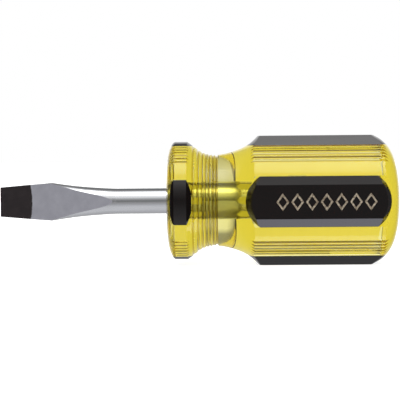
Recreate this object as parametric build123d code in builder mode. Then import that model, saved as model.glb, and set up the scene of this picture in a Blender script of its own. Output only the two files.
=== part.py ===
from build123d import *
from math import cos, hypot, radians, sin
import os

# Stubby slotted screwdriver, lying along X on its bottom panel.
# Tip towards -X, butt towards +X, label panel towards -Y, +Z up, Z = 0 on the bench.
# X = 0 is midway between the tip and the butt. Stations below are measured from the
# collar's front face and turned into X by at().

# ---- driving dimensions, mm ----
blade_exposed = 38.1  # 1-1/2 in of blade in front of the handle
handle_length = 52.5  # collar face to the crown of the butt
flat_distance = 14.6  # tool axis to the flat of a black panel
base_distance = 12.45  # tool axis to the plane a black panel sits on
bar_radius = 13.65  # round amber bar between the panels
collar_radius = 13.4
stock_radius = 15.7  # beyond every edge, so the turned profile trims only the ends

panel_top_half = 3.73  # half-width of a black panel at its flat
panel_base_half = 5.6  # half-width of a black panel at its foot, where the bar meets its plane

pad_start = 18.9  # flat of the front and back body panels, which have round ends of their own
pad_end = 48.7
pad_end_radius = 6.7
pad_root = 11.5  # their ends reach down to the turned amber
pad_end_slope = 0.48  # how far the ends lean out for each mm below the flat

shank_radius = 2.94
tang_depth = 37.0  # shank inside the handle
tang_chamfer = 0.6
wing_start = 26.0  # swaged wings that key the tang against turning
wing_length = 7.0
wing_half_width = 3.7
wing_half_thickness = 1.0
wing_ramp = 1.5

tip_half_thickness = 0.55
ground_face_end = 12.2  # the ground faces run out this far ahead of the collar

flute_count = 6  # grooves in each quarter, beside the top and bottom panels
flute_first_angle = 41.6  # degrees up from the side of the bar
flute_step_angle = 4.5
flute_depth = 0.6
flute_half_width = 0.36
flute_overcut = 0.5
collar_zone_end = 12.0  # between the collar's and the body's panels
body_zone_start = 14.0
overrun = 1.0  # how far a cut or a blank runs past the face it ends on

ring_stations = (6.1, 7.2, 8.1, 8.9, 9.7, 10.5)  # fine turned rings in the neck
ring_radius = 0.3
ring_depth = 0.17
deep_ring_station = 11.3
deep_ring_depth = 0.32

mark_count = 7  # lozenges stamped in foil on the front panel
mark_half_width = 1.4
mark_half_height = 1.95
mark_pitch = 3.2
mark_stroke = 0.42
mark_recess = 0.14
foil_thickness = 0.05
mark_centre = 35.4

# Turned profile as (station, radius): collar front, neck and flare, dome of the butt.
collar_front = [(-0.07, 0.0), (0.1, 8.2), (0.41, 10.6), (1.03, 12.45), (2.08, 13.4)]
collar_back = 4.7
neck = [
    (4.7, 13.4), (5.72, 12.65), (6.64, 11.95), (7.55, 11.25), (8.47, 10.85), (10.3, 10.4),
    (12.13, 10.45), (13.96, 10.8), (16.7, 11.7), (18.54, 12.68), (20.37, 14.3), (21.7, 15.7),
]
dome = [
    (44.9, 15.7), (46.5, 14.8), (48.24, 13.85), (49.16, 13.1), (50.07, 12.1),
    (50.99, 10.55), (51.9, 7.6), (52.5, 0.0),
]

# The blank ahead of the shank as (distance ahead of the collar, half-width, half-thickness,
# corner radius): a forged bar that the two ground faces are cut from, with straight edges
# from the tip to its widest point and a hollow flare from there to the round shank.
tip_section = (38.1, 3.34, 1.5, 0.3)
flare_sections = [
    (26.3, 4.32, 2.15, 1.1),
    (24.0, 3.98, 2.35, 1.6),
    (21.0, 3.59, 2.56, 2.2),
    (17.5, 3.27, 2.76, 2.6),
    (14.5, 3.07, 2.88, 2.8),
    (11.5, 2.94, 2.94, 2.93),
]

panel_sides = {"top": 0, "front": 90, "bottom": 180, "back": 270}

# ---- worked-out values ----
collar_face = blade_exposed - (blade_exposed + handle_length) / 2
tool_axis = Axis((0, 0, flat_distance), (1, 0, 0))
flute_angles = [flute_first_angle + flute_step_angle * n for n in range(flute_count)]
flute_lip = flute_half_width * (1 + flute_overcut / flute_depth)  # half-width outside the bar


def at(station):
    """X of a station measured from the collar's front face."""
    return collar_face + station


def across(station, turn=0):
    """Plane square to the tool axis: local x to +Y, local y to +Z, turned about the axis."""
    plane = Plane(origin=(at(station), 0, flat_distance), x_dir=(0, 1, 0), z_dir=(1, 0, 0))
    return plane.rotated((turn, 0, 0))


def along():
    """Plane through the tool axis: local x to +X, local y to +Z."""
    return Plane(origin=(0, 0, flat_distance), x_dir=(1, 0, 0), z_dir=(0, -1, 0))


def level():
    """Plane through the tool axis: local x to +X, local y to +Y."""
    return Plane(origin=(0, 0, flat_distance), x_dir=(1, 0, 0), z_dir=(0, 0, 1))


def placed(points):
    """Profile points with their stations turned into X."""
    return [(at(station), radius) for station, radius in points]


def neck_radius(station):
    """Radius of the turned profile at a station in the neck."""
    for (x0, r0), (x1, r1) in zip(neck, neck[1:]):
        if x0 <= station <= x1:
            return r0 + (r1 - r0) * (station - x0) / (x1 - x0)
    return stock_radius


# ---- the turned shape that trims the bar, shared by the handle and its panels ----
with BuildPart() as turned:
    with BuildSketch(along()):
        with BuildLine():
            Spline(*placed(collar_front), tangents=[(0, 1), (1, 0)])
            Line((at(collar_front[-1][0]), collar_radius), (at(collar_back), collar_radius))
            Spline(*placed(neck))
            Line((at(neck[-1][0]), stock_radius), (at(dome[0][0]), stock_radius))
            Spline(*placed(dome), tangents=[(1, -0.5), (0, -1)])
            Line((at(handle_length), 0), (at(collar_front[0][0]), 0))
        make_face()
    revolve(axis=tool_axis)
    with BuildSketch(along()):
        for station in ring_stations:
            with Locations((at(station), neck_radius(station) + ring_radius - ring_depth)):
                Circle(ring_radius)
        deep_ring_height = neck_radius(deep_ring_station) + ring_radius - deep_ring_depth
        with Locations((at(deep_ring_station), deep_ring_height)):
            Circle(ring_radius)
    revolve(axis=tool_axis, mode=Mode.SUBTRACT)


# ---- blade: one steel bar, from the ground tip to the winged tang ----
with BuildPart() as blade:
    for sections in ([tip_section, flare_sections[0]], flare_sections):
        for ahead, half_width, half_thickness, rounding in sections:
            with BuildSketch(across(-ahead)):
                RectangleRounded(2 * half_thickness, 2 * half_width, rounding)
        loft()
    with BuildSketch(across(-flare_sections[-1][0])):
        Circle(shank_radius)
    extrude(amount=flare_sections[-1][0] + tang_depth)
    chamfer(blade.edges().sort_by(Axis.X)[-1], tang_chamfer)
    ramp_in = at(wing_start + wing_ramp)
    ramp_out = at(wing_start + wing_length - wing_ramp)
    with BuildSketch(along()):
        with BuildLine():
            Polyline(
                (at(wing_start), shank_radius / 2),
                (ramp_in, wing_half_width),
                (ramp_out, wing_half_width),
                (at(wing_start + wing_length), shank_radius / 2),
                (at(wing_start + wing_length), -shank_radius / 2),
                (ramp_out, -wing_half_width),
                (ramp_in, -wing_half_width),
                (at(wing_start), -shank_radius / 2),
                close=True,
            )
        make_face()
    extrude(amount=wing_half_thickness, both=True)
    with BuildSketch(level()):
        with BuildLine():
            Polyline(
                (at(-blade_exposed), tip_half_thickness),
                (at(-ground_face_end), shank_radius),
                (at(0), 2 * shank_radius),
                (at(tang_depth), 2 * shank_radius),
                (at(tang_depth), -2 * shank_radius),
                (at(0), -2 * shank_radius),
                (at(-ground_face_end), -shank_radius),
                (at(-blade_exposed), -tip_half_thickness),
                close=True,
            )
        make_face()
    extrude(amount=2 * wing_half_width, both=True, mode=Mode.INTERSECT)

# ---- handle: round amber bar with four flats, fluted, turned and bored for the tang ----
with BuildPart() as handle:
    with BuildSketch(across(-overrun)):
        Rectangle(2 * base_distance, 2 * base_distance)
        Circle(bar_radius, mode=Mode.INTERSECT)
        for angle in flute_angles:
            for turn in (angle, 180 - angle, -angle, angle - 180):
                with Locations((bar_radius * cos(radians(turn)), bar_radius * sin(radians(turn)))):
                    Polygon(
                        (-flute_depth, 0),
                        (flute_overcut, flute_lip),
                        (flute_overcut, -flute_lip),
                        rotation=turn,
                        align=None,
                        mode=Mode.SUBTRACT,
                    )
    extrude(amount=handle_length + 2 * overrun)
    add(turned.part, mode=Mode.INTERSECT)
    add(blade.part, mode=Mode.SUBTRACT)

# ---- stamped mark: a row of lozenge outlines, sunk into the front panel's flat ----
mark_origin = (at(mark_centre), -flat_distance, flat_distance)
front_face = Plane(origin=mark_origin, x_dir=(1, 0, 0), z_dir=(0, -1, 0))
inner_scale = 1 - mark_stroke * hypot(1 / mark_half_width, 1 / mark_half_height)


def lozenges():
    """The row of lozenge outlines."""
    with GridLocations(mark_pitch, 0, mark_count, 1):
        for scale, mode in ((1, Mode.ADD), (inner_scale, Mode.SUBTRACT)):
            half_width = mark_half_width * scale
            half_height = mark_half_height * scale
            corners = [(half_width, 0), (0, half_height), (-half_width, 0), (0, -half_height)]
            Polygon(*corners, mode=mode)


def round_ends(side):
    """A long block with round ends that lean out towards the tool axis."""
    outward = -1 if side == "front" else 1
    with BuildPart() as block:
        for height in (pad_root, flat_distance):
            lean = pad_end_slope * (flat_distance - height)
            middle = (at((pad_start + pad_end) / 2), outward * height, flat_distance)
            with BuildSketch(Plane(origin=middle, x_dir=(1, 0, 0), z_dir=(0, -1, 0))):
                SlotOverall(pad_end - pad_start + 2 * lean, 2 * pad_end_radius)
        loft()
    return block.part


# ---- black panels: raised ribs on the four flats ----
panels = {}
for side, turn in panel_sides.items():
    zones = (("collar", -overrun, collar_zone_end), ("body", body_zone_start, handle_length))
    for zone, start, end in zones:
        name = f"{zone}_panel_{side}"
        round_ended = zone == "body" and side in ("front", "back")
        with BuildPart() as panel:
            with BuildSketch(across(start, turn)):
                with BuildLine():
                    Polyline(
                        (-panel_base_half, base_distance),
                        (-panel_top_half, flat_distance),
                        (panel_top_half, flat_distance),
                        (panel_base_half, base_distance),
                        close=True,
                    )
                make_face()
                if round_ended:
                    with Locations((0, (pad_root + base_distance) / 2)):
                        Rectangle(2 * panel_base_half, base_distance - pad_root)
            extrude(amount=end - start)
            if round_ended:
                add(round_ends(side), mode=Mode.INTERSECT)
                add(handle.part, mode=Mode.SUBTRACT)
            else:
                # the panels that follow the turned shape
                add(turned.part, mode=Mode.INTERSECT)
            if name == "body_panel_front":
                with BuildSketch(front_face):
                    lozenges()
                extrude(amount=-mark_recess, mode=Mode.SUBTRACT)
        panels[name] = panel

# ---- foil at the bottom of the stamped recess ----
with BuildPart() as foil_mark:
    with BuildSketch(front_face.offset(-mark_recess)):
        lozenges()
    extrude(amount=foil_thickness)

# ---- labels and files ----
os.makedirs("parts", exist_ok=True)
for name, piece in {"blade": blade, "handle": handle, "foil_mark": foil_mark, **panels}.items():
    piece.part.label = name
    export_step(piece.part, f"parts/{name}.step")
    print(name, len(piece.part.solids()), round(piece.part.volume, 2))
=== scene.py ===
from bisect import bisect_left
from math import acos, atan2, cos, hypot, pi, radians, sin, sqrt

import bmesh
import bpy
from mathutils import Matrix, Vector


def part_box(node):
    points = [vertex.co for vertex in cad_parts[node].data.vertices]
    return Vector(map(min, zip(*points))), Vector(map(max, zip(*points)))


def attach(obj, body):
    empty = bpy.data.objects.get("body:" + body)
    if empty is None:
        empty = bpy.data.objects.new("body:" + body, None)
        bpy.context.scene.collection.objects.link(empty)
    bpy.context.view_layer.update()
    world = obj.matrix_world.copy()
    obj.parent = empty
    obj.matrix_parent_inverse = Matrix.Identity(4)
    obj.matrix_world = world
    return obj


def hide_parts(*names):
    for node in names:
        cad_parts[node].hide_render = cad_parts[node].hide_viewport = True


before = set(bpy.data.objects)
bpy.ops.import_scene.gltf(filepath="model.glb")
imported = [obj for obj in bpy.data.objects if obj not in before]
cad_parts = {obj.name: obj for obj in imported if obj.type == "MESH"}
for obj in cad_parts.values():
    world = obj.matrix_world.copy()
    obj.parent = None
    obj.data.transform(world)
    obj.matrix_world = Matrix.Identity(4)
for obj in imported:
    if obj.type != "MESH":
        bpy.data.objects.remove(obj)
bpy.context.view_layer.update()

# Stubby screwdriver lying along X. The tip is towards -X, the marked panel faces -Y.
# Stations are measured in millimetres from the collar's front face, along the tool axis.

scene = bpy.context.scene
MM = 0.001

blade_lo, blade_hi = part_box("blade")
handle_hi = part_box("handle")[1]
panel_lo, panel_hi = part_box("body_panel_front")
axis_z = (blade_lo.z + blade_hi.z) / 2

# ---- blade sizes, mm ----
blade_exposed = 38.1
shank_radius = 2.94
tip_half_thickness = 0.55
taper_start = 12.2  # ahead of the collar
oxide_length = 7.35
collar_x = blade_lo.x + blade_exposed * MM
oxide_x = collar_x - (blade_exposed - oxide_length) * MM

# ---- handle sizes, mm ----
handle_length = (handle_hi.x - collar_x) / MM
base_distance = 12.45
bar_radius = 13.65
collar_radius = 13.4
flute_count = 6
flute_first_angle = 41.6
flute_step_angle = 4.5
flute_depth = 0.6
flute_half_width = 0.36
flute_crown = 0.03
ring_stations = (6.1, 7.2, 8.1, 8.9, 9.7, 10.5)
ring_radius = 0.3
ring_depth = 0.17
deep_ring = (11.3, 0.32)
ring_zone = (6.6, 11.9)

collar_front = [(-0.07, 0.0), (0.1, 8.2), (0.41, 10.6), (1.03, 12.45), (2.08, 13.4)]
neck = [
    (4.7, 13.4), (5.72, 12.65), (6.64, 11.95), (7.55, 11.25), (8.47, 10.85), (10.3, 10.4),
    (12.13, 10.45), (13.96, 10.8), (16.7, 11.7), (18.54, 12.68), (20.37, 14.3), (21.7, 15.7),
]
dome = [
    (44.9, 15.7), (46.5, 14.8), (48.24, 13.85), (49.16, 13.1), (50.07, 12.1),
    (50.99, 10.55), (51.9, 7.6), (handle_length, 0.0),
]

# ---- mesh of the handle: steps along each stretch, and between angles ----
curve_steps = 16
stretch_steps = {"face": 16, "band": 6, "fall": 10, "rings": 96, "rise": 36, "body": 16, "dome": 36}
widest_step = radians(1.1)
closest_step = radians(0.02)
crease_limit = 24

# ---- amber's colour, linear, and how fast it deepens, per metre ----
amber_absorb = (0.938, 0.877, 0.04)
amber_density = 60.0


def smooth_line(points, steps, start=None, end=None):
    """A cubic curve through the points, spaced by chord length, as a fine polyline.
    start and end are the directions at its ends, where given."""
    count = len(points)
    gaps = [hypot(b[0] - a[0], b[1] - a[1]) for a, b in zip(points, points[1:])]
    slopes = []
    # the slopes at the points make the bends match: a system of three diagonals, solved for each axis
    for axis in (0, 1):
        below = [0.0] * count
        middle = [1.0] * count
        above = [0.0] * count
        right = [0.0] * count
        for i in range(1, count - 1):
            below[i] = gaps[i]
            middle[i] = 2 * (gaps[i - 1] + gaps[i])
            above[i] = gaps[i - 1]
            before = (points[i][axis] - points[i - 1][axis]) / gaps[i - 1]
            after = (points[i + 1][axis] - points[i][axis]) / gaps[i]
            right[i] = 3 * (gaps[i] * before + gaps[i - 1] * after)
        for i, given, near, gap in ((0, start, 1, gaps[0]), (count - 1, end, count - 2, gaps[-1])):
            if given:
                right[i] = given[axis] / hypot(*given)
            else:
                step = (points[max(i, near)][axis] - points[min(i, near)][axis]) / gap
                middle[i] = 2.0
                right[i] = 3 * step
                if i == 0:
                    above[i] = 1.0
                else:
                    below[i] = 1.0
        # elimination forwards, then substitution backwards
        for i in range(1, count):
            factor = below[i] / middle[i - 1]
            middle[i] -= factor * above[i - 1]
            right[i] -= factor * right[i - 1]
        slope = [0.0] * count
        slope[-1] = right[-1] / middle[-1]
        for i in range(count - 2, -1, -1):
            slope[i] = (right[i] - above[i] * slope[i + 1]) / middle[i]
        slopes.append(slope)
    line = [points[0]]
    for i in range(count - 1):
        for k in range(1, steps + 1):
            t = k / steps
            h = gaps[i]
            place = []
            for axis in (0, 1):
                place.append(
                    (2 * t**3 - 3 * t**2 + 1) * points[i][axis]
                    + (t**3 - 2 * t**2 + t) * h * slopes[axis][i]
                    + (-2 * t**3 + 3 * t**2) * points[i + 1][axis]
                    + (t**3 - t**2) * h * slopes[axis][i + 1]
                )
            line.append(tuple(place))
    return line


front_line = smooth_line(collar_front, curve_steps, start=(0, 1), end=(1, 0))
neck_line = smooth_line(neck, curve_steps)
dome_line = smooth_line(dome, curve_steps, start=(1, -0.5), end=(0, -1))
throat = min(range(len(neck_line)), key=lambda i: neck_line[i][1])
fall_line = neck_line[: throat + 1]
rise_line = neck_line[throat:]


def where_radius(line, radius):
    """Point on a line whose radius only rises or only falls, at that radius."""
    rising = line[-1][1] > line[0][1]
    for (s0, r0), (s1, r1) in zip(line, line[1:]):
        if (rising and r0 <= radius <= r1) or (not rising and r1 <= radius <= r0):
            t = 0 if r0 == r1 else (radius - r0) / (r1 - r0)
            return s0 + t * (s1 - s0), radius
    return line[-1] if (radius > line[-1][1]) == rising else line[0]


def where_station(line, station):
    """Point on a line at that station."""
    for (s0, r0), (s1, r1) in zip(line, line[1:]):
        if s0 <= station <= s1:
            t = (station - s0) / (s1 - s0)
            return station, r0 + t * (r1 - r0)
    return line[-1]


def part_of(line, first, last, count):
    """count + 1 points evenly spread along the line from the point first to the point last."""
    lengths = [0.0]
    for a, b in zip(line, line[1:]):
        lengths.append(lengths[-1] + hypot(b[0] - a[0], b[1] - a[1]))

    def reach(point):
        best, found = 1e9, 0.0
        for i, (a, b) in enumerate(zip(line, line[1:])):
            span = hypot(b[0] - a[0], b[1] - a[1]) or 1e-9
            t = ((point[0] - a[0]) * (b[0] - a[0]) + (point[1] - a[1]) * (b[1] - a[1])) / span**2
            t = min(1.0, max(0.0, t))
            miss = hypot(a[0] + t * (b[0] - a[0]) - point[0], a[1] + t * (b[1] - a[1]) - point[1])
            if miss < best:
                best, found = miss, lengths[i] + t * span
        return found

    low, high = reach(first), reach(last)
    out = []
    for k in range(count + 1):
        want = low + (high - low) * k / count
        i = min(len(line) - 2, max(0, bisect_left(lengths, want) - 1))
        span = lengths[i + 1] - lengths[i] or 1e-9
        t = (want - lengths[i]) / span
        (s0, r0), (s1, r1) = line[i], line[i + 1]
        out.append((s0 + t * (s1 - s0), r0 + t * (r1 - r0)))
    return out


def ring_cut(station):
    """How far the turned rings cut into the neck at a station."""
    deepest = 0.0
    for centre, depth in [(s, ring_depth) for s in ring_stations] + [deep_ring]:
        offset = abs(station - centre)
        if offset < ring_radius:
            deepest = max(deepest, sqrt(ring_radius**2 - offset**2) - (ring_radius - depth))
    return deepest


# ---- handle: section of the amber, by angle from the -Y or +Y side ----
flat_edge = acos(base_distance / bar_radius)
grooves = [radians(flute_first_angle + flute_step_angle * n) for n in range(flute_count)]
groove_half_angle = flute_half_width / bar_radius
ridge_share = radians(flute_step_angle) / 2 / groove_half_angle  # middle of a ridge
collar_share = 1 - (bar_radius - collar_radius) / flute_depth  # where a groove meets the collar


def section(angle):
    """Distance from the axis to the amber's surface before it is turned."""
    reach = bar_radius
    for side in (angle, pi / 2 - angle):
        if side < flat_edge:
            reach = base_distance / cos(side)
    for centre in grooves:
        share = abs(angle - centre) / groove_half_angle
        if share < 1:
            reach = bar_radius - flute_crown - (flute_depth - flute_crown) * (1 - share)
        elif share < ridge_share:
            reach = min(reach, bar_radius - flute_crown * ((ridge_share - share) / (ridge_share - 1)) ** 2)
    return reach


def quarter_angles():
    """Angles of the mesh rows from a side flat to the next upright one, with rows on every crease."""
    wanted = []
    for centre in grooves:
        for share in (0, collar_share / 2, collar_share, 1):
            wanted += [centre - share * groove_half_angle, centre + share * groove_half_angle]
    for edge in (0, acos(base_distance / collar_radius), flat_edge):
        wanted += [edge, pi / 2 - edge]
    creases = sorted(wanted)
    for low, high in zip(creases, creases[1:]):
        count = int((high - low) / widest_step) + 1
        wanted += [low + (high - low) * step / count for step in range(1, count)]
    kept = []
    for angle in sorted(wanted):
        if not kept or angle - kept[-1] > closest_step:
            kept.append(angle)
    return kept


def level_line(first, last, radius, count):
    """count points at one radius, after the point first and up to the point last."""
    return [(first[0] + (last[0] - first[0]) * k / count, radius) for k in range(1, count + 1)]


def outline(angle):
    """The amber's surface along the handle at one angle, as (station, radius)."""
    steps = stretch_steps
    at_body = section(angle)
    at_collar = min(at_body, collar_radius)
    band_start = where_radius(front_line, at_collar)
    band_end = where_radius(fall_line, at_collar)
    body_start = where_radius(rise_line, at_body)
    body_end = where_radius(dome_line, at_body)
    ring_start = where_station(neck_line, ring_zone[0])
    ring_end = where_station(neck_line, ring_zone[1])
    points = part_of(front_line, front_line[0], band_start, steps["face"])[1:]
    points += level_line(band_start, band_end, at_collar, steps["band"])
    points += part_of(neck_line, band_end, ring_start, steps["fall"])[1:]
    points += part_of(neck_line, ring_start, ring_end, steps["rings"])[1:]
    points += part_of(neck_line, ring_end, body_start, steps["rise"])[1:]
    points += level_line(body_start, body_end, at_body, steps["body"])
    points += part_of(dome_line, body_end, dome_line[-1], steps["dome"])[1:-1]
    return [(s, r - ring_cut(s)) for s, r in points]


def mark_sharp(bm, limit):
    """Shades a mesh smooth, with edges above the limit, in degrees, kept sharp."""
    for face in bm.faces:
        face.smooth = True
    for edge in bm.edges:
        edge.smooth = len(edge.link_faces) != 2 or edge.calc_face_angle(0) < radians(limit)


def new_object(name, mesh):
    obj = bpy.data.objects.new(name, mesh)
    scene.collection.objects.link(obj)
    return obj


def in_groove(angle, station, radius):
    """Whether a spot lies deep in a flute or a turned ring."""
    if ring_cut(station) > ring_depth * 0.6:
        return True
    near = min(abs(angle - centre) for centre in grooves)
    return radius > bar_radius - flute_depth and near < collar_share * groove_half_angle


def build_handle():
    """The amber as one closed mesh: rows of points along the axis, one row for each angle."""
    quarter = quarter_angles()
    bm = bmesh.new()
    rows = []
    lines = []
    for turn in range(4):
        # quarters alternate in direction, since the grooves lie beside the top and bottom panels
        for local in quarter[:-1] if turn % 2 == 0 else quarter[:0:-1]:
            whole = turn * pi / 2 + (local if turn % 2 == 0 else pi / 2 - local)
            line = outline(local)
            row = []
            for s, r in line:
                place = (collar_x + s * MM, -r * MM * cos(whole), axis_z + r * MM * sin(whole))
                row.append(bm.verts.new(place))
            rows.append(row)
            lines.append((local, line))
    front = bm.verts.new((collar_x + front_line[0][0] * MM, 0, axis_z))
    back = bm.verts.new((collar_x + dome_line[-1][0] * MM, 0, axis_z))
    for i, row in enumerate(rows):
        other = rows[(i + 1) % len(rows)]
        angle = (lines[i][0] + lines[(i + 1) % len(rows)][0]) / 2
        line = lines[i][1]
        bm.faces.new((front, row[0], other[0]))
        for k, (a0, a1, b0, b1) in enumerate(zip(row, row[1:], other, other[1:])):
            face = bm.faces.new((a0, a1, b1, b0))
            station = (line[k][0] + line[k + 1][0]) / 2
            radius = (line[k][1] + line[k + 1][1]) / 2
            # faces deep in the flutes and rings take the darker amber, which is painted shade
            face.material_index = 1 if in_groove(angle, station, radius + 0.01) else 0
        bm.faces.new((back, other[-1], row[-1]))
    bmesh.ops.recalc_face_normals(bm, faces=bm.faces)
    mark_sharp(bm, crease_limit)
    mesh = bpy.data.meshes.new("amber_handle")
    bm.to_mesh(mesh)
    bm.free()
    return new_object("amber_handle", mesh)


def copy_node(node, name):
    """A new object with a copy of a CAD node's mesh."""
    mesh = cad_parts[node].data.copy()
    mesh.materials.clear()
    return new_object(name, mesh)


# ---- node helpers ----
def material(name):
    mat = bpy.data.materials.new(name)
    mat.use_nodes = True
    return mat, mat.node_tree, mat.node_tree.nodes["Principled BSDF"]


def add(tree, kind, inputs=None, **settings):
    node = tree.nodes.new(kind)
    for key, value in settings.items():
        setattr(node, key, value)
    for key, value in (inputs or {}).items():
        if isinstance(value, bpy.types.NodeSocket):
            tree.links.new(value, node.inputs[key])
        else:
            node.inputs[key].default_value = value
    return node


def ramp(tree, factor, stops):
    node = add(tree, "ShaderNodeValToRGB", {"Fac": factor})
    elements = node.color_ramp.elements
    while len(elements) > 1:
        elements.remove(elements[-1])
    elements[0].position = stops[0][0]
    elements[0].color = (*stops[0][1], 1)
    for place, colour in stops[1:]:
        elements.new(place).color = (*colour, 1)
    return node.outputs["Color"]


def object_coords(tree):
    return add(tree, "ShaderNodeTexCoord").outputs["Object"]


def noise(tree, coords, scale, detail=3.0, rough=0.5):
    return add(
        tree, "ShaderNodeTexNoise", {"Vector": coords, "Scale": scale, "Detail": detail, "Roughness": rough}
    ).outputs["Fac"]


def stretched(tree, coords, x, y, z):
    return add(tree, "ShaderNodeMapping", {"Vector": coords, "Scale": (x, y, z)}).outputs["Vector"]


def calc(tree, operation, a, b=0.0):
    return add(tree, "ShaderNodeMath", {0: a, 1: b}, operation=operation).outputs[0]


def link(tree, output, socket):
    tree.links.new(output, socket)


def shade(tree, socket, pattern, stops):
    """Lets a pattern drive a socket, through a ramp."""
    link(tree, ramp(tree, pattern, stops), socket)


def roughen(tree, shader, height, strength, distance):
    """Tilts the surface by a pattern."""
    inputs = {"Height": height, "Strength": strength, "Distance": distance}
    link(tree, add(tree, "ShaderNodeBump", inputs).outputs["Normal"], shader.inputs["Normal"])


def grey(level):
    return (level, level, level)


# ---- amber: clear cellulose acetate ----
def amber_material(name, tint):
    mat, tree, shader = material(name)
    coords = object_coords(tree)
    shader.inputs["Base Color"].default_value = (*tint, 1)
    shader.inputs["Transmission Weight"].default_value = 1.0
    shader.inputs["IOR"].default_value = 1.475
    haze = noise(tree, coords, 420, 4, 0.6)
    shade(tree, shader.inputs["Roughness"], haze, [(0.35, grey(0.004)), (0.75, grey(0.02))])
    absorb = add(tree, "ShaderNodeVolumeAbsorption", {"Density": amber_density})
    absorb.inputs["Color"].default_value = (*amber_absorb, 1)
    link(tree, absorb.outputs["Volume"], tree.nodes["Material Output"].inputs["Volume"])
    return mat


# ---- black: gloss plastic of the grip panels ----
def black_material():
    mat, tree, shader = material("black_acetate")
    coords = object_coords(tree)
    cloud = noise(tree, coords, 90, 4, 0.6)
    tones = [(0.3, (0.003, 0.0006, 0.0004)), (0.7, (0.0045, 0.0012, 0.001))]
    shade(tree, shader.inputs["Base Color"], cloud, tones)
    shader.inputs["IOR"].default_value = 1.5
    scuff = noise(tree, stretched(tree, coords, 0.15, 1, 1), 900, 5, 0.65)
    shade(tree, shader.inputs["Roughness"], scuff, [(0.4, grey(0.05)), (0.75, grey(0.13))])
    roughen(tree, shader, scuff, 0.05, 0.05 * MM)
    return mat


# ---- bond: pale cement between a panel and the amber, with a painted glow that stands in for light, seen only through the amber ----
def bond_and_glow_material():
    mat, tree, shader = material("pale_bond_painted_glow")
    patch = noise(tree, object_coords(tree), 300, 3)
    shade(tree, shader.inputs["Base Color"], patch, [(0.3, (0.3, 0.27, 0.08)), (0.7, (0.34, 0.3, 0.1))])
    # the emission is painted light: the panel backs glow to brighten the amber seen in front of them
    shader.inputs["Emission Color"].default_value = (0.97, 0.895, 0.25, 1)
    shader.inputs["Emission Strength"].default_value = 0.75
    shader.inputs["Roughness"].default_value = 0.8
    shader.inputs["Specular IOR Level"].default_value = 0.0
    return mat


# ---- foil: pale metal leaf ----
def foil_material():
    mat, tree, shader = material("pale_foil")
    speck = noise(tree, object_coords(tree), 2600, 3, 0.7)
    shade(tree, shader.inputs["Base Color"], speck, [(0.38, (0.25, 0.18, 0.11)), (0.6, (0.82, 0.7, 0.54))])
    shader.inputs["Metallic"].default_value = 0.35
    shader.inputs["Roughness"].default_value = 0.45
    roughen(tree, shader, speck, 0.3, 0.03 * MM)
    return mat


# ---- steel: plated shank, ground faces and dark oxide at the tip ----
def oxide_mask(tree, coords):
    """1 ahead of the oxide's slightly bowed edge, 0 behind it."""
    parts = add(tree, "ShaderNodeSeparateXYZ", {"Vector": coords})
    height = calc(tree, "SUBTRACT", parts.outputs["Z"], axis_z)
    bow = calc(tree, "MULTIPLY", calc(tree, "MULTIPLY", height, height), 28.0)
    ragged = calc(tree, "MULTIPLY", noise(tree, coords, 900, 4, 0.6), 0.3 * MM)
    edge = calc(tree, "ADD", calc(tree, "ADD", parts.outputs["X"], bow), ragged)
    spread = {"From Min": oxide_x + 0.1 * MM, "From Max": oxide_x + 0.3 * MM, "To Min": 1.0, "To Max": 0.0}
    return add(tree, "ShaderNodeMapRange", {"Value": edge, **spread}, clamp=True).outputs["Result"]


def steel_material(name, light, dark, rough, grain_scale, stretch, grain_strength):
    mat, tree, shader = material(name)
    coords = object_coords(tree)
    mask = oxide_mask(tree, coords)
    grain = noise(tree, stretched(tree, coords, *stretch), grain_scale, 4, 0.6)
    metal = ramp(tree, grain, [(0.3, dark), (0.7, light)])
    # the tang, inside the handle, has the yellow of light coming through the amber around it painted into
    # its colour
    along = add(tree, "ShaderNodeSeparateXYZ", {"Vector": coords}).outputs["X"]
    inside = calc(tree, "GREATER_THAN", along, collar_x)
    tint = ramp(tree, inside, [(0.0, grey(1)), (1.0, (0.95, 0.91, 0.38))])
    metal_in_painted_light = add(tree, "ShaderNodeVectorMath", {0: metal, 1: tint}, operation="MULTIPLY").outputs["Vector"]
    speck = noise(tree, coords, 500, 5, 0.7)
    soot = ramp(tree, speck, [(0.3, (0.022, 0.016, 0.018)), (0.8, (0.038, 0.028, 0.03))])
    mix = add(tree, "ShaderNodeMix", data_type="RGBA")
    link(tree, mask, mix.inputs["Factor"])
    link(tree, metal_in_painted_light, mix.inputs[6])
    link(tree, soot, mix.inputs[7])
    link(tree, mix.outputs[2], shader.inputs["Base Color"])
    link(tree, calc(tree, "SUBTRACT", 1.0, calc(tree, "MULTIPLY", mask, 0.75)), shader.inputs["Metallic"])
    sheen = calc(tree, "ADD", calc(tree, "MULTIPLY", grain, 0.08), rough - 0.04)
    rougher = add(tree, "ShaderNodeMix", data_type="FLOAT")
    link(tree, mask, rougher.inputs["Factor"])
    link(tree, sheen, rougher.inputs[2])
    rougher.inputs[3].default_value = 0.5
    link(tree, rougher.outputs[0], shader.inputs["Roughness"])
    roughen(tree, shader, grain, grain_strength, 0.03 * MM)
    return mat


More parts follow.
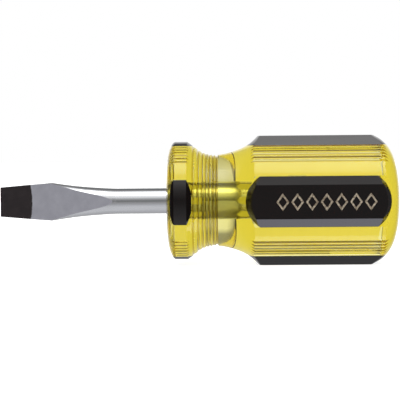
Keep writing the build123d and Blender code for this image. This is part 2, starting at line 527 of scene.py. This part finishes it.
def build_blade():
    """The CAD blade, with the two ground tapers and the tip's end face in a satin finish."""
    blade = copy_node("blade", "steel_blade")
    drawn = {"rough": 0.14, "grain_scale": 1200, "stretch": (0.1, 1, 1), "grain_strength": 0.05}
    ground_by_wheel = {"rough": 0.38, "grain_scale": 1500, "stretch": (0.3, 1, 0.3), "grain_strength": 0.04}
    plated = steel_material("steel_plated", (0.66, 0.67, 0.69), (0.6, 0.61, 0.63), **drawn)
    satin = steel_material("steel_ground", (0.9, 0.9, 1.0), (0.8, 0.8, 0.9), **ground_by_wheel)
    blade.data.materials.append(plated)
    blade.data.materials.append(satin)
    slope = atan2(shank_radius - tip_half_thickness, blade_exposed - taper_start)
    ground = Vector((-sin(slope), cos(slope), 0))
    for face in blade.data.polygons:
        toward = Vector((face.normal.x, abs(face.normal.y), face.normal.z))
        on_taper = face.center.x < collar_x - (taper_start - 0.2) * MM
        if (on_taper and toward.dot(ground) > 0.9998) or face.normal.x < -0.99:
            face.material_index = 1
    return blade


# ---- panels: the CAD shapes, with their backs let a hair into the amber, so that no faces coincide ----
panel_sides = {"front": (0, -1, 0), "back": (0, 1, 0), "top": (0, 0, 1), "bottom": (0, 0, -1)}
let_in = 0.05 * MM
back_tolerance = 0.005 * MM


def build_panel(zone, side, mat, bond_and_glow):
    node = f"{zone}_panel_{side}"
    panel = copy_node(node, f"grip_{zone}_{side}")
    outward = Vector(panel_sides[side])
    origin = Vector((0, 0, axis_z))
    panel.data.materials.append(mat)
    panel.data.materials.append(bond_and_glow)
    for face in panel.data.polygons:
        # the backs take the pale cement with its painted glow
        if face.normal.dot(outward) < -0.99:
            face.material_index = 1
    for vert in panel.data.vertices:
        if abs((vert.co - origin).dot(outward) - base_distance * MM) < back_tolerance:
            vert.co -= outward * let_in
    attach(panel, "root")
    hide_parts(node)


handle = build_handle()
handle.data.materials.append(amber_material("amber_acetate", (1.0, 1.0, 0.97)))
# the darker amber on the groove faces is painted shade in the grooves
handle.data.materials.append(amber_material("amber_groove_painted_shade", (0.6, 0.49, 0.28)))
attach(handle, "root")
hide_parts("handle")

blade = build_blade()
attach(blade, "root")
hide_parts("blade")

black = black_material()
bond_and_glow = bond_and_glow_material()
for zone in ("collar", "body"):
    for side in panel_sides:
        build_panel(zone, side, black, bond_and_glow)

foil_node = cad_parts["foil_mark"]
foil_node.data.materials.clear()
foil_node.data.materials.append(foil_material())


# ---- floor, and a reflector under the marked panel that only reflections show ----
floor_half = 3.0
card_height = 0.4 * MM


def build_sheet(name, low, high, height):
    """A level rectangle between two corners."""
    bm = bmesh.new()
    corners = ((low[0], low[1]), (high[0], low[1]), (high[0], high[1]), (low[0], high[1]))
    bm.faces.new([bm.verts.new((x, y, height)) for x, y in corners])
    mesh = bpy.data.meshes.new(name)
    bm.to_mesh(mesh)
    bm.free()
    return new_object(name, mesh)


def build_floor():
    floor = build_sheet("floor", (-floor_half, -floor_half), (floor_half, floor_half), 0)
    mat, tree, shader = material("floor_white")
    cloud = noise(tree, object_coords(tree), 6, 2)
    shade(tree, shader.inputs["Base Color"], cloud, [(0.3, grey(0.8)), (0.7, grey(0.82))])
    shader.inputs["Roughness"].default_value = 0.9
    shader.inputs["Specular IOR Level"].default_value = 0.0
    shader.inputs["Emission Color"].default_value = (1, 1, 1, 1)
    seen = add(tree, "ShaderNodeLightPath").outputs["Is Camera Ray"]
    link(tree, calc(tree, "MULTIPLY", seen, 0.9), shader.inputs["Emission Strength"])
    floor.data.materials.append(mat)
    floor.visible_glossy = False


def build_reflector():
    low = (panel_lo.x - 2 * MM, panel_lo.y + 1 * MM)
    high = (panel_hi.x + 4 * MM, panel_lo.y + 7.5 * MM)
    card = build_sheet("reflector", low, high, card_height)
    mat = bpy.data.materials.new("reflector_glow")
    mat.use_nodes = True
    tree = mat.node_tree
    tree.nodes.clear()
    glow = add(tree, "ShaderNodeEmission", {"Strength": 2.3})
    glow.inputs["Color"].default_value = (0.95, 0.95, 1.05, 1)
    add(tree, "ShaderNodeOutputMaterial", {"Surface": glow.outputs[0]})
    card.data.materials.append(mat)
    card.visible_camera = False
    card.visible_diffuse = False
    card.visible_transmission = False
    card.visible_shadow = False


build_floor()
build_reflector()


# ---- light: a long softbox overhead towards the camera, pale surroundings ----
# Brightness by angle around the X axis, in degrees: 0 is the camera's side, 90 is straight up.
studio_levels = [
    (-180, 0.95), (-165, 0.7), (-131, 0.54), (-113, 0.6), (-98, 0.66), (-85, 0.76), (-53, 0.77),
    (-43, 0.72), (-33, 0.61), (-24, 0.49), (-15, 0.43), (-4, 0.28), (4, 0.24), (11, 0.36),
    (20, 0.53), (30, 0.86), (39, 1.2), (52, 1.3), (57, 3.2), (69, 3.8), (82, 3.8), (88, 1.8),
    (95, 1.1), (102, 0.5), (110, 0.36), (123, 0.2), (132, 0.22), (148, 0.3), (156, 0.9),
    (170, 0.95), (180, 1.0),
]
studio_top = 4.0
side_level = 0.1
below_tint = 1.03  # a little more blue from below


def build_world():
    world = bpy.data.worlds.new("studio")
    scene.world = world
    world.use_nodes = True
    tree = world.node_tree
    tree.nodes.clear()
    direction = add(tree, "ShaderNodeTexCoord").outputs["Generated"]
    parts = add(tree, "ShaderNodeSeparateXYZ", {"Vector": direction})
    towards = calc(tree, "MULTIPLY", parts.outputs["Y"], -1.0)
    angle = calc(tree, "ARCTAN2", parts.outputs["Z"], towards)
    turn = calc(tree, "ADD", calc(tree, "DIVIDE", angle, 2 * pi), 0.5)
    stops = []
    for degrees, level in studio_levels:
        share = level / studio_top
        blue = share * (below_tint if -120 < degrees < -15 else 1.0)
        stops.append(((degrees + 180) / 360, (share, share, blue)))
    glow = ramp(tree, turn, stops)
    # the light fades to the side level towards both ends of the tool
    across = calc(tree, "ABSOLUTE", parts.outputs["X"])
    spread = {"From Min": 0.3, "From Max": 0.6, "To Min": 0.0, "To Max": 1.0}
    fade = add(tree, "ShaderNodeMapRange", {"Value": across, **spread}, clamp=True).outputs["Result"]
    side = add(tree, "ShaderNodeMix", data_type="RGBA")
    link(tree, fade, side.inputs["Factor"])
    link(tree, glow, side.inputs[6])
    side.inputs[7].default_value = (*grey(side_level / studio_top), 1)
    studio = add(tree, "ShaderNodeBackground", {"Color": side.outputs[2], "Strength": studio_top})
    plain = add(tree, "ShaderNodeBackground", {"Strength": 1.0})
    plain.inputs["Color"].default_value = (1, 1, 1, 1)
    seen = add(tree, "ShaderNodeLightPath").outputs["Is Camera Ray"]
    mixed = add(tree, "ShaderNodeMixShader", {0: seen, 1: studio.outputs[0], 2: plain.outputs[0]})
    add(tree, "ShaderNodeOutputWorld", {"Surface": mixed.outputs[0]})


build_world()


# ---- camera ----
camera_distance = 0.320
camera_azimuth = 1.2
camera_elevation = 2.0
camera_roll = 0.5
camera_lens = 126.2
camera_target = Vector((0.27 * MM, 0, axis_z + 0.11 * MM))


def build_camera():
    azimuth = radians(camera_azimuth)
    elevation = radians(camera_elevation)
    roll = radians(camera_roll)
    data = bpy.data.cameras.new("camera")
    camera = bpy.data.objects.new("camera", data)
    scene.collection.objects.link(camera)
    data.sensor_width = 36
    data.lens = camera_lens
    data.clip_start = 0.01
    data.clip_end = 20
    back = Vector((sin(azimuth) * cos(elevation), -cos(azimuth) * cos(elevation), sin(elevation)))
    right = Vector((cos(azimuth), sin(azimuth), 0))
    up = back.cross(right)
    tilted_right = right * cos(roll) - up * sin(roll)
    tilted_up = right * sin(roll) + up * cos(roll)
    place = camera_target + back * camera_distance
    rows = [(tilted_right[i], tilted_up[i], back[i], place[i]) for i in range(3)]
    camera.matrix_world = Matrix((*rows, (0, 0, 0, 1)))
    bpy.context.scene.camera = camera


build_camera()

scene.view_settings.view_transform = "Standard"
scene.view_settings.look = "None"
scene.cycles.max_bounces = 24
scene.cycles.transmission_bounces = 24
scene.cycles.glossy_bounces = 12
scene.cycles.transparent_max_bounces = 16
